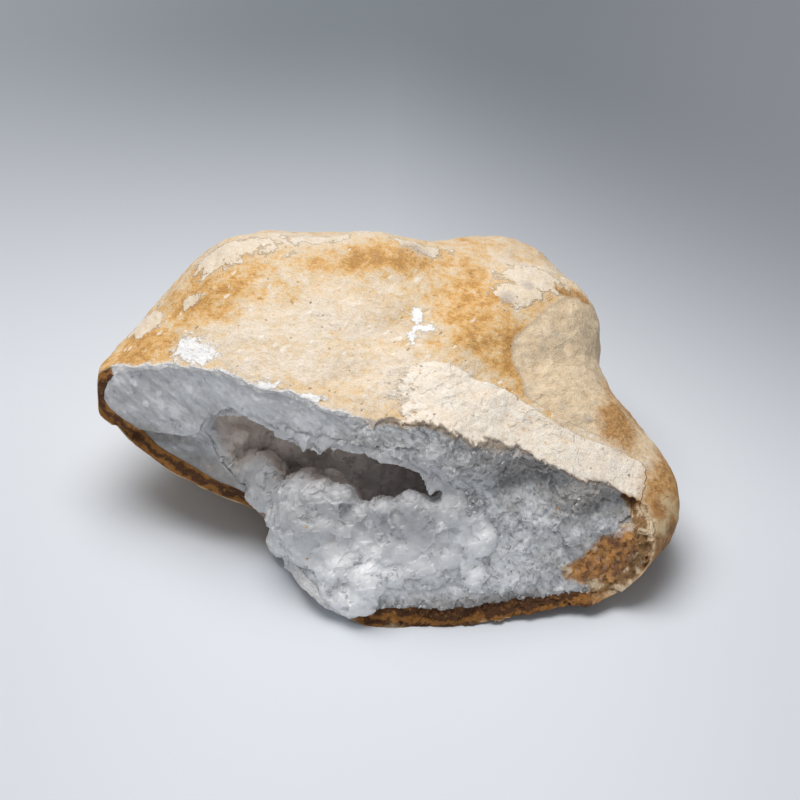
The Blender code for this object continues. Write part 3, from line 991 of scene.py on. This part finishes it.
speckle, given = group("speckle", {"Size": 2.0, "Share": 0.2, "Width": 0.3}, "Mask")
scale = speckle.maths("DIVIDE", 1.0, given["Size"])
shaken = speckle.vectors("MULTIPLY_ADD", speckle.noise(given["Position"], scale)["Color"], (3, 3, 3),
                         given["Position"])
cells = speckle.add("ShaderNodeTexVoronoi", None, {"Vector": shaken, "Scale": scale}).outputs
luck = speckle.add("ShaderNodeSeparateColor", None, {"Color": cells["Color"]}).outputs
chosen = speckle.maths("LESS_THAN", luck["Red"], given["Share"])
reach = speckle.times(given["Width"], speckle.maths("ADD", luck["Green"], 0.4))
inside = speckle.maths("SUBTRACT", 1.0, speckle.maths("DIVIDE", cells["Distance"], reach), clamp=True)
speckle.add("NodeGroupOutput", None, {"Mask": speckle.times(chosen, inside)})

facets, given = group("facets", {"Size": 1.5, "Tilt": 0.3}, "Normal", "NodeSocketVector")
scale = facets.maths("DIVIDE", 1.0, given["Size"])
cells = facets.add("ShaderNodeTexVoronoi", None, {"Vector": given["Position"], "Scale": scale}).outputs
lean = facets.vectors("SUBTRACT", cells["Color"], (0.5, 0.5, 0.5))
tilted = facets.vectors("SCALE", lean, Scale=facets.times(given["Tilt"], 2.0))
leaning = facets.vectors("ADD", tilted, facets.add("ShaderNodeNewGeometry").outputs["Normal"])
facets.add("NodeGroupOutput", None, {"Normal": facets.vectors("NORMALIZE", leaning)})
print("groups:", [made.tree.name for made in (ragged, speckle, facets)])

# %% [markdown]
# ## A finish
# Every material here is a base colour with thin layers on it, as paint on a model is: a mask, how strong it is,
# and its colour. Patterns read Object coordinates in millimetres, so a noise has the size of the real grain.

# %% Finishes
class Finish(Nodes):
    """A material's node tree, with the patterns of stone. Sizes are in mm."""

    def __init__(self, name):
        self.material = bpy.data.materials.new(name)
        self.material.use_nodes = True
        self.material.node_tree.nodes.clear()
        super().__init__(self.material.node_tree)
        self.place = self.vectors("SCALE", self.add("ShaderNodeTexCoord").outputs["Object"], Scale=1 / MM)

    def stretched(self, turn, scale):
        """The place in a turned space, drawn out by scale along its own axes, for a grain with a direction."""
        made = self.add("ShaderNodeMapping", {"vector_type": "TEXTURE"},
                        {"Vector": self.place, "Rotation": turn, "Scale": scale})
        return made.outputs[0]

    def grain(self, length, detail=3.0, rough=0.55, twist=0.0, place=None):
        """Noise of 0 to 1 with features about length mm across."""
        return self.noise(place or self.place, 1 / length, detail, rough, twist)["Fac"]

    def stored(self, name):
        """The number that a piece stores under this name."""
        made = self.add("ShaderNodeAttribute", {"attribute_name": name, "attribute_type": "GEOMETRY"})
        return made.outputs["Fac"]

    def edged(self, name, size, amount, edge):
        """A stored mask with its edge broken up: grain size, how far it wanders and how soft it is."""
        return self.group(ragged, Position=self.place, Mask=self.stored(name), Size=size, Amount=amount,
                          Edge=edge)

    def specks(self, size, share, width, low=0.1, high=0.5, place=None):
        """Scattered spots, firm between the levels low and high."""
        made = self.group(speckle, Position=place or self.place, Size=size, Share=share, Width=width)
        return self.between(made, low, high)

    def less(self, value):
        return self.maths("SUBTRACT", 1.0, value)

    def ramp(self, value, stops):
        """A colour ramp through the stops, given as position: colour, the two outer ones first."""
        made = self.add("ShaderNodeValToRGB", None, {"Fac": value})
        elements = made.color_ramp.elements
        for number, (at, colour) in enumerate(stops.items()):
            stop = elements[number] if number < 2 else elements.new(at)
            stop.position, stop.color = at, (*colour, 1)
        return made.outputs["Color"]

    def layers(self, colour, *layers):
        """Lays each (mask, strength, paint) over the colour in turn."""
        for mask, strength, paint in layers:
            colour = self.mix(self.times(mask, strength), colour, paint)
        return colour

    def surface(self, inputs, settings=None):
        """Closes the material with a Principled BSDF of these inputs."""
        made = self.add("ShaderNodeBsdfPrincipled", settings, inputs)
        self.add("ShaderNodeOutputMaterial", None, {"Surface": made.outputs["BSDF"]})
        print(self.material.name, "has", len(self.tree.nodes), "nodes")
        return self.material


# The grey of dirt and of painted shade.
GRIME_AND_SHADE_GREY = (0.27, 0.25, 0.235)
print("finishes ready")

# %% [markdown]
# ## Weathered limestone
# The skin's colour is one scale from deep gold to pale cream, driven by the `pale` zone with three sizes of
# noise on it. Plaques and chalk sheets are steps in both the colour and the bump, so that each edge is crisp.
# Grit, pores and the few hairline cracks are too small for the mesh, so they are in the bump.

# %% Patterns on the limestone
stone = Finish("weathered_limestone")
broad, middling = stone.grain(15, 4, 0.6), stone.grain(5, 5, 0.65)
fine, grit = stone.grain(1.6, 4, 0.7, 0.6), stone.grain(0.5, 2)
brushed = stone.grain(1.1, 4, 0.7, 0.8, stone.stretched((0.0, 0.0, -0.35), (3.2, 1, 1)))
flecked = stone.total((middling, 0.45), (fine, 0.25), (brushed, 0.30))
masks = {name: stone.edged(name, *edge) for name, edge in {
    "plaque": (5.0, 1.5, 0.10), "chalk": (5.0, 0.8, 0.10), "dimple": (2.5, 0.9, 0.5), "side": (7.0, 1.0, 0.45),
    "brown": (7.0, 1.3, 0.5), "low": (8.0, 1.0, 0.6), "rust": (5.0, 1.1, 0.4), "white": (2.2, 2.2, 0.25),
    "strip": (3.0, 0.6, 0.25)}.items()}
holes = stone.group(speckle, Position=stone.place, Size=2.3, Share=0.13, Width=0.26)
orange_specks = stone.specks(2.6, 0.36, 0.30, 0.1, 0.6)
white_flecks = stone.specks(3.7, 0.32, 0.28, place=stone.stretched((0.4, 0.2, 0.9), (2.0, 0.8, 1)))
seam = stone.maths("ABSOLUTE", stone.maths("SUBTRACT", stone.grain(26, 4, 0.55), 0.5))
crack = stone.times(stone.between(seam, 0.007, 0.001), stone.between(stone.grain(27, 2), 0.58, 0.66))
depth, right = stone.stored("below_skin"), stone.stored("right")
print("limestone masks:", ", ".join(masks))

# %% The skin's colours
zone = stone.total((stone.stored("pale"), 1.0), (stone.maths("SUBTRACT", broad, 0.5), 0.7),
                   (stone.maths("SUBTRACT", flecked, 0.5), 3.2))
weathered = stone.ramp(zone, {0.05: (0.52, 0.27, 0.08), 0.95: (0.82, 0.72, 0.60), 0.20: (0.68, 0.39, 0.13),
                              0.34: (0.74, 0.47, 0.21), 0.47: (0.75, 0.56, 0.34), 0.60: (0.76, 0.60, 0.41),
                              0.76: (0.78, 0.65, 0.50)})
crust = stone.ramp(flecked, {0.34: (0.66, 0.49, 0.32), 0.66: (0.87, 0.80, 0.70), 0.45: (0.78, 0.66, 0.51)})
chalky = stone.ramp(flecked, {0.33: (0.80, 0.60, 0.40), 0.62: (0.93, 0.88, 0.80), 0.44: (0.87, 0.75, 0.61)})
smooth_grey = stone.layers(
    stone.mix(stone.between(middling, 0.3, 0.7), (0.80, 0.59, 0.36), (0.96, 0.77, 0.53)),
    (stone.between(fine, 0.3, 0.7), 0.5, (0.88, 0.76, 0.58)),
    (stone.specks(4.5, 0.35, 0.40), 0.8, (0.74, 0.64, 0.50)),
    # painted shade: darker along the side's edge, where it lies a step below the cream slab
    (stone.between(stone.edged("side", 3.0, 0.9, 1.6), 0.95, 0.62), 0.6, (0.42, 0.33, 0.24)))
mottled = stone.between(fine, 0.35, 0.65)
rusty = stone.layers(
    stone.mix(stone.between(middling, 0.35, 0.62), (0.15, 0.06, 0.018), (0.46, 0.22, 0.06)),
    (stone.between(broad, 0.52, 0.62), 0.8, (0.70, 0.55, 0.34)))
skin_colour = stone.layers(
    weathered,
    (masks["plaque"], 0.9, crust),
    (masks["dimple"], 0.85, (0.50, 0.44, 0.38)),
    (masks["chalk"], 1.0, chalky),
    (stone.between(brushed, 0.41, 0.31), 0.45, (0.90, 0.83, 0.73)),
    (stone.times(stone.between(brushed, 0.60, 0.70), stone.less(masks["chalk"])), 0.45, (0.56, 0.30, 0.10)),
    (orange_specks, 0.45, (0.66, 0.32, 0.10)),
    (white_flecks, 0.7, (0.90, 0.86, 0.80)),
    (stone.between(holes, 0.1, 0.6), 0.7, (0.36, 0.21, 0.10)),
    (masks["side"], 1.0, smooth_grey),
    # painted shade, darker towards the back
    (stone.stored("far"), 0.22, (0.42, 0.37, 0.31)),
    (masks["brown"], 1.0, stone.mix(mottled, (0.38, 0.19, 0.065), (0.64, 0.38, 0.155))),
    (masks["low"], 0.75, stone.mix(mottled, (0.22, 0.12, 0.06), (0.46, 0.31, 0.18))),
    (masks["rust"], 0.8, rusty),
    (masks["white"], 1.0, (0.92, 0.92, 0.92)),
    (crack, 0.5, (0.50, 0.31, 0.16)))
print("nodes for the skin:", len(stone.tree.nodes))

# %% [markdown]
# ### The rind's torn edge
# Where the rind is broken through it shows its own layers: banded brown along the foot and at the tip, creamy
# at the right end, and white or tan where it is thin along the top rim.

# %% The torn edge
banded = stone.between(stone.maths("SINE", stone.total((depth, 11.0), (middling, 13.0))), -0.6, 0.9)
creamy = stone.times(stone.stored("end"), stone.between(broad, 0.44, 0.58))
torn_brown = stone.layers(
    stone.mix(banded, (0.075, 0.028, 0.008), (0.27, 0.115, 0.025)),
    (stone.between(fine, 0.52, 0.75), 0.45, (0.46, 0.27, 0.10)),
    (stone.between(depth, 0.10, 0.02), 1.0, (0.60, 0.44, 0.26)),
    (creamy, 0.85, stone.mix(banded, (0.30, 0.17, 0.07), (0.74, 0.60, 0.42))))
torn_tan = stone.mix(stone.between(middling, 0.35, 0.65), (0.20, 0.13, 0.08), (0.56, 0.38, 0.21))
torn = stone.layers(
    stone.mix(stone.between(fine, 0.3, 0.7), (0.60, 0.60, 0.60), (0.84, 0.84, 0.85)),
    (stone.times(right, stone.between(depth, 0.20, 0.10)), 1.0, torn_tan),
    (right, 0.3, (0.36, 0.35, 0.34)),
    # greyer where dirty, partly painted shade under the rim
    (stone.stored("grime_and_shade"), 0.8, GRIME_AND_SHADE_GREY),
    (stone.stored("foot"), 1.0, torn_brown))
# Painted shadow: a dark brown ring round the edge of each plaque.
painted_plaque_shadow = stone.times(masks["plaque"], stone.less(masks["plaque"]))
colour = stone.layers(skin_colour, (masks["strip"], 1.0, torn_brown), (stone.stored("fresh"), 1.0, torn),
                      (painted_plaque_shadow, 1.4, (0.50, 0.32, 0.16)))
colour = stone.mix(stone.between(grit, 0.3, 0.55, 0.30, 0.0), colour, (0.50, 0.36, 0.24), "MULTIPLY")
print("nodes with the torn edge:", len(stone.tree.nodes))

# %% The limestone's bump
sheets = stone.maths("FRACT", stone.times(stone.grain(17, 3, 0.5), 9.0))
sheet_step = stone.times(stone.between(sheets, 0.0, 0.12), masks["chalk"])
relief = stone.total((flecked, 1.6), (grit, 0.35), (masks["plaque"], 0.6), (masks["chalk"], 0.8),
                     (masks["white"], 0.5), (middling, 0.8), (sheet_step, 0.3), (masks["dimple"], -0.8),
                     (holes, -0.8), (crack, -0.6))
bump = stone.add("ShaderNodeBump", None, {"Strength": 0.9, "Distance": 0.0006, "Height": relief})
limestone = stone.surface({"Base Color": colour, "Roughness": stone.between(fine, 0.3, 0.7, 0.70, 0.92),
                           "Normal": bump.outputs["Normal"], "Specular IOR Level": 0.35})

# %% [markdown]
# ## Milky calcite
# Massive calcite is white and slightly see-through: light goes in, scatters and comes out beside where it
# went in, which is subsurface scattering. Each grain carries its own `tint`, so that some are whiter, some
# greyer and some glint. The lining is browner deep in the hollow, partly stain and partly painted shade, and
# rust has soaked in at the right. Painted shade also greys the mound's top and darkens the face under the right
# rim, where there is dirt too, and painted light whitens the lower face.

# %% Calcite
def calcite_finish(name, clean, dusty, combed, shade, facet_size, tilt, gloss):
    """combed and shade are the strengths of the fibres and of the painted shade in the shaded zone."""
    spar = Finish(name)
    cloud, middling, fine = spar.grain(12, 4, 0.6), spar.grain(4, 4, 0.65), spar.grain(0.9, 3)
    fibre = spar.grain(1.3, 4, 0.6, 0.4, spar.stretched((0.0, 0.5, 0.0), (5.0, 2, 1)))
    tint, deep = spar.stored("tint"), spar.stored("deep")
    spots = spar.group(speckle, Position=spar.place, Size=2.6, Share=0.03, Width=0.30)
    spots = spar.times(spots, spar.between(cloud, 0.46, 0.52))
    rusty = spar.layers(
        spar.mix(spar.between(middling, 0.35, 0.60), (0.14, 0.05, 0.015), (0.50, 0.24, 0.06)),
        (spar.between(cloud, 0.51, 0.61), 0.85, (0.74, 0.60, 0.42)),
        (spar.between(fine, 0.55, 0.75), 0.5, (0.62, 0.42, 0.20)))
    colour = spar.layers(
        clean,
        (spar.between(cloud, 0.35, 0.65), 0.7, dusty),
        (spar.between(tint, 0.0, 1.0), 0.25, dusty),
        (spar.between(fibre, 0.52, 0.34), combed, (0.40, 0.395, 0.39)),
        (spar.between(fibre, 0.56, 0.68), combed, (0.92, 0.925, 0.94)),
        (spar.specks(4.5, 0.22, 0.42, 0.05), 0.8, (0.93, 0.935, 0.95)),
        # browner deep in the hollow: partly stain and partly painted shade
        (deep, 0.85, spar.mix(middling, (0.70, 0.59, 0.52), (0.82, 0.73, 0.67))),
        # painted shade: greyer on the mound's top, under the rim
        (spar.times(spar.stored("shaded"), spar.less(deep)), shade, (0.40, 0.40, 0.415)),
        # whiter: painted light low on the face, and a white crust by the left rim
        (spar.stored("bright"), 0.42, (0.93, 0.935, 0.955)),
        # greyer where dirty, partly painted shade under the rim
        (spar.edged("grime_and_shade", 3.0, 1.0, 0.6), 0.80, GRIME_AND_SHADE_GREY),
        (spar.edged("rust", 6.0, 1.7, 0.5), 1.0, rusty),
        (spar.between(spots, 0.1, 0.5), 0.8, (0.60, 0.32, 0.10)))
    cell_normal = spar.group(facets, Position=spar.place, Size=facet_size, Tilt=tilt)
    bump = spar.add("ShaderNodeBump", None,
                    {"Strength": 0.4, "Distance": 0.0003, "Height": fine, "Normal": cell_normal})
    return spar.surface({"Base Color": colour, "Roughness": spar.between(tint, 0.0, 1.0, *gloss), "IOR": 1.6,
                         "Subsurface Weight": 0.85, "Subsurface Radius": (1.0, 0.95, 0.88),
                         "Subsurface Scale": 0.005, "Normal": bump.outputs["Normal"]},
                        {"subsurface_method": "RANDOM_WALK"})


massive = calcite_finish("milky_calcite", (0.70, 0.71, 0.73), (0.54, 0.54, 0.545), 0.6, 0.25,
                         1.5, 0.16, (0.55, 0.3))
lining = calcite_finish("lining_calcite", (0.80, 0.805, 0.82), (0.68, 0.68, 0.685), 0.25, 0.72,
                        2.6, 0.10, (0.42, 0.16))

# %% [markdown]
# ## Joining the frame
# Every piece gets its material, rides on the part's only body and stands for the solid that it replaces, which
# is hidden. The front cutter and the crystal shapes have done their work and go.

# %% Riding and replacing
discard(front, *grain_shapes.objects[:], *point_shapes.objects[:])
body = list(frame["bodies"])[0]
for piece, material, solid, finish in (
    (rind, limestone, "limestone_rind", "limestone"),
    (calcite, massive, "calcite_wall", "massive_calcite"),
    (druse, lining, "crystal_crust", "calcite_crystal"),
    (wall_grains, massive, None, "massive_calcite"),
    (lining_crystals, lining, None, "calcite_crystal"),
    (lining_points, lining, None, "calcite_crystal"),
):
    piece.data.materials.clear()
    piece.data.materials.append(material)
    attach(piece, body)
    if solid:
        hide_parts(solid)
print("pieces ride on", body)

# %% [markdown]
# ## The studio
# The floor is one pale sheet whose colour is painted darker away from the camera, towards the back right corner
# and at both sides: painted light falloff, as a lit sweep shows. A large soft light hangs above and a little
# behind the stone, so that its top is bright and its broken face is in soft shade.

# %% Floor
bm = bmesh.new()
bmesh.ops.create_grid(bm, x_segments=4, y_segments=4, size=3.0)
floor = finished(bm, "studio_floor")
paper = Finish("floor_paper")
spot = paper.add("ShaderNodeSeparateXYZ", None, {"Vector": paper.place}).outputs
away = paper.total((spot["Y"], 1.0), (paper.maths("MAXIMUM", spot["X"], 0.0), 0.5))
# Painted light falloff: darker further back, at the back right corner and at the sides.
painted_falloff = paper.between(away, 30, 360)
corner = paper.times(painted_falloff, paper.between(spot["X"], -50, 300))
beside = paper.between(paper.maths("ABSOLUTE", spot["X"]), 30, 220)
colour = paper.layers(
    paper.mix(painted_falloff, (0.66, 0.69, 0.74), (0.17, 0.19, 0.215)),
    (corner, 1.0, (0.08, 0.09, 0.105)), (beside, 0.35, (0.40, 0.42, 0.46)))
floor.data.materials.append(paper.surface({"Base Color": colour, "Roughness": 0.9}))
print("floor", [round(c, 2) for c in floor.dimensions])

# %% [markdown]
# ### Lights
# Area lights are soft because they are large. The key hangs above, behind and to the left, so the shadow falls
# to the right and forwards, and a weak low fill keeps the broken face readable.

# %% Lights
def soft_light(name, at, size, power, colour=(1, 1, 1)):
    lamp = bpy.data.lights.new(name, "AREA")
    lamp.shape, lamp.size, lamp.energy, lamp.color = "SQUARE", size, power, colour
    made = bpy.data.objects.new(name, lamp)
    made.location = at
    made.rotation_euler = (Vector((0, 0, 0.04)) - Vector(at)).to_track_quat("-Z", "Y").to_euler()
    bpy.context.scene.collection.objects.link(made)


soft_light("overhead", (-0.14, 0.24, 1.14), 0.95, 16.2, (1.0, 0.985, 0.965))
soft_light("front fill", (0.15, -1.4, 0.40), 1.1, 2.8, (0.97, 0.985, 1.0))
world = bpy.data.worlds.new("studio air")
world.use_nodes = True
sky = world.node_tree.nodes["Background"].inputs
sky["Color"].default_value, sky["Strength"].default_value = (0.91, 0.955, 1.0, 1), 0.22
bpy.context.scene.world = world
bpy.context.scene.view_settings.view_transform = "Standard"
print("lights:", len(bpy.data.lights))

# %% [markdown]
# ## The camera
# A long lens from 0.9 m, looking down 38 degrees, gives the view's flat perspective.

# %% Camera
TARGET = Vector((0.0051, -0.0074, 0.0498))
AWAY = 0.9
DOWN = math.radians(38)
lens = bpy.data.cameras.new("camera")
lens.lens, lens.sensor_width = 112.5, 36
camera = bpy.data.objects.new("camera", lens)
camera.location = TARGET + AWAY * Vector((0, -math.cos(DOWN), math.sin(DOWN)))
camera.rotation_euler = (TARGET - camera.location).to_track_quat("-Z", "Y").to_euler()
bpy.context.scene.collection.objects.link(camera)
bpy.context.scene.camera = camera
print("camera at", [round(c, 3) for c in camera.location])

# %% [markdown]
# ## Closing
# The solids' box is printed again.

# %% Size and finish
print("solids from", [round(c * 1000, 1) for c in cad_low], "to", [round(c * 1000, 1) for c in cad_high])
